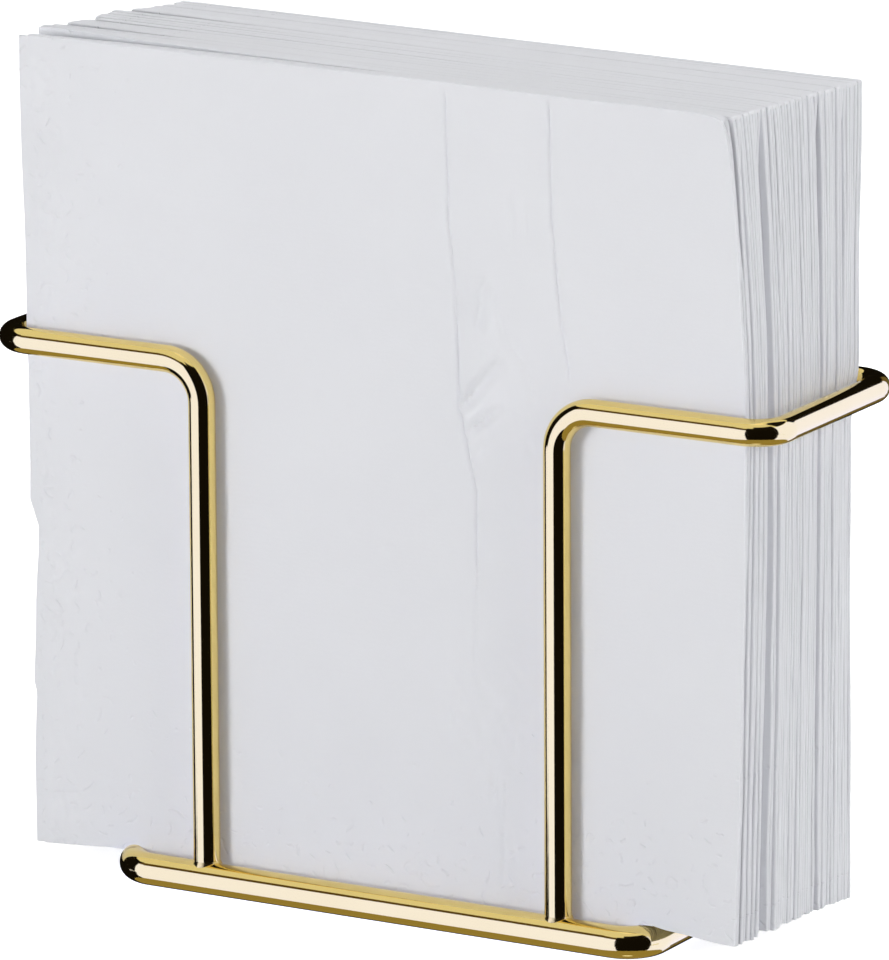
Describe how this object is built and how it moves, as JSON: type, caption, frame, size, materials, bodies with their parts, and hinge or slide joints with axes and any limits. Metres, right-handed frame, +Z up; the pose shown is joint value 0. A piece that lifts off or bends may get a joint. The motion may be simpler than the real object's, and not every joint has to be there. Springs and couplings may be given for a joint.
{
  "type": "napkin holder",
  "caption": "Upright table napkin holder of bent, welded and polished gold-coloured wire, holding a stack of quarter-folded paper napkins on edge; each napkin lifts out upwards.",
  "frame": {"origin": "on the table, under the middle of the base ring", "axes": "+X along the base ring's long bars and the napkins' width, -Y towards the user, +Z up"},
  "size_m": [0.165, 0.053, 0.1562],
  "materials": {
    "gold_wire": "polished",
    "napkin_paper": "matte"
  },
  "bodies": {
    "frame": {"base_ring": "gold_wire", "left_arm": "gold_wire", "right_arm": "gold_wire", "weld_front_left": "gold_wire", "weld_front_right": "gold_wire", "weld_rear_left": "gold_wire", "weld_rear_right": "gold_wire"},
    "napkin_01": {"napkin_01": "napkin_paper"},
    "napkin_02": {"napkin_02": "napkin_paper"},
    "napkin_03": {"napkin_03": "napkin_paper"},
    "napkin_04": {"napkin_04": "napkin_paper"},
    "napkin_05": {"napkin_05": "napkin_paper"},
    "napkin_06": {"napkin_06": "napkin_paper"},
    "napkin_07": {"napkin_07": "napkin_paper"},
    "napkin_08": {"napkin_08": "napkin_paper"},
    "napkin_09": {"napkin_09": "napkin_paper"},
    "napkin_10": {"napkin_10": "napkin_paper"},
    "napkin_11": {"napkin_11": "napkin_paper"},
    "napkin_12": {"napkin_12": "napkin_paper"},
    "napkin_13": {"napkin_13": "napkin_paper"},
    "napkin_14": {"napkin_14": "napkin_paper"},
    "napkin_15": {"napkin_15": "napkin_paper"},
    "napkin_16": {"napkin_16": "napkin_paper"},
    "napkin_17": {"napkin_17": "napkin_paper"},
    "napkin_18": {"napkin_18": "napkin_paper"},
    "napkin_19": {"napkin_19": "napkin_paper"},
    "napkin_20": {"napkin_20": "napkin_paper"},
    "napkin_21": {"napkin_21": "napkin_paper"},
    "napkin_22": {"napkin_22": "napkin_paper"},
    "napkin_23": {"napkin_23": "napkin_paper"},
    "napkin_24": {"napkin_24": "napkin_paper"}
  },
  "joints": [
    {"name": "napkin_01_lift", "type": "slide", "parent": "frame", "child": "napkin_01", "axis": [0, 0, 1], "range_m": [0, 0.155]},
    {"name": "napkin_02_lift", "type": "slide", "parent": "frame", "child": "napkin_02", "axis": [0, 0, 1], "range_m": [0, 0.155]},
    {"name": "napkin_03_lift", "type": "slide", "parent": "frame", "child": "napkin_03", "axis": [0, 0, 1], "range_m": [0, 0.155]},
    {"name": "napkin_04_lift", "type": "slide", "parent": "frame", "child": "napkin_04", "axis": [0, 0, 1], "range_m": [0, 0.155]},
    {"name": "napkin_05_lift", "type": "slide", "parent": "frame", "child": "napkin_05", "axis": [0, 0, 1], "range_m": [0, 0.155]},
    {"name": "napkin_06_lift", "type": "slide", "parent": "frame", "child": "napkin_06", "axis": [0, 0, 1], "range_m": [0, 0.155]},
    {"name": "napkin_07_lift", "type": "slide", "parent": "frame", "child": "napkin_07", "axis": [0, 0, 1], "range_m": [0, 0.155]},
    {"name": "napkin_08_lift", "type": "slide", "parent": "frame", "child": "napkin_08", "axis": [0, 0, 1], "range_m": [0, 0.155]},
    {"name": "napkin_09_lift", "type": "slide", "parent": "frame", "child": "napkin_09", "axis": [0, 0, 1], "range_m": [0, 0.155]},
    {"name": "napkin_10_lift", "type": "slide", "parent": "frame", "child": "napkin_10", "axis": [0, 0, 1], "range_m": [0, 0.155]},
    {"name": "napkin_11_lift", "type": "slide", "parent": "frame", "child": "napkin_11", "axis": [0, 0, 1], "range_m": [0, 0.155]},
    {"name": "napkin_12_lift", "type": "slide", "parent": "frame", "child": "napkin_12", "axis": [0, 0, 1], "range_m": [0, 0.155]},
    {"name": "napkin_13_lift", "type": "slide", "parent": "frame", "child": "napkin_13", "axis": [0, 0, 1], "range_m": [0, 0.155]},
    {"name": "napkin_14_lift", "type": "slide", "parent": "frame", "child": "napkin_14", "axis": [0, 0, 1], "range_m": [0, 0.155]},
    {"name": "napkin_15_lift", "type": "slide", "parent": "frame", "child": "napkin_15", "axis": [0, 0, 1], "range_m": [0, 0.155]},
    {"name": "napkin_16_lift", "type": "slide", "parent": "frame", "child": "napkin_16", "axis": [0, 0, 1], "range_m": [0, 0.155]},
    {"name": "napkin_17_lift", "type": "slide", "parent": "frame", "child": "napkin_17", "axis": [0, 0, 1], "range_m": [0, 0.155]},
    {"name": "napkin_18_lift", "type": "slide", "parent": "frame", "child": "napkin_18", "axis": [0, 0, 1], "range_m": [0, 0.155]},
    {"name": "napkin_19_lift", "type": "slide", "parent": "frame", "child": "napkin_19", "axis": [0, 0, 1], "range_m": [0, 0.155]},
    {"name": "napkin_20_lift", "type": "slide", "parent": "frame", "child": "napkin_20", "axis": [0, 0, 1], "range_m": [0, 0.155]},
    {"name": "napkin_21_lift", "type": "slide", "parent": "frame", "child": "napkin_21", "axis": [0, 0, 1], "range_m": [0, 0.155]},
    {"name": "napkin_22_lift", "type": "slide", "parent": "frame", "child": "napkin_22", "axis": [0, 0, 1], "range_m": [0, 0.155]},
    {"name": "napkin_23_lift", "type": "slide", "parent": "frame", "child": "napkin_23", "axis": [0, 0, 1], "range_m": [0, 0.155]},
    {"name": "napkin_24_lift", "type": "slide", "parent": "frame", "child": "napkin_24", "axis": [0, 0, 1], "range_m": [0, 0.155]}
  ]
}
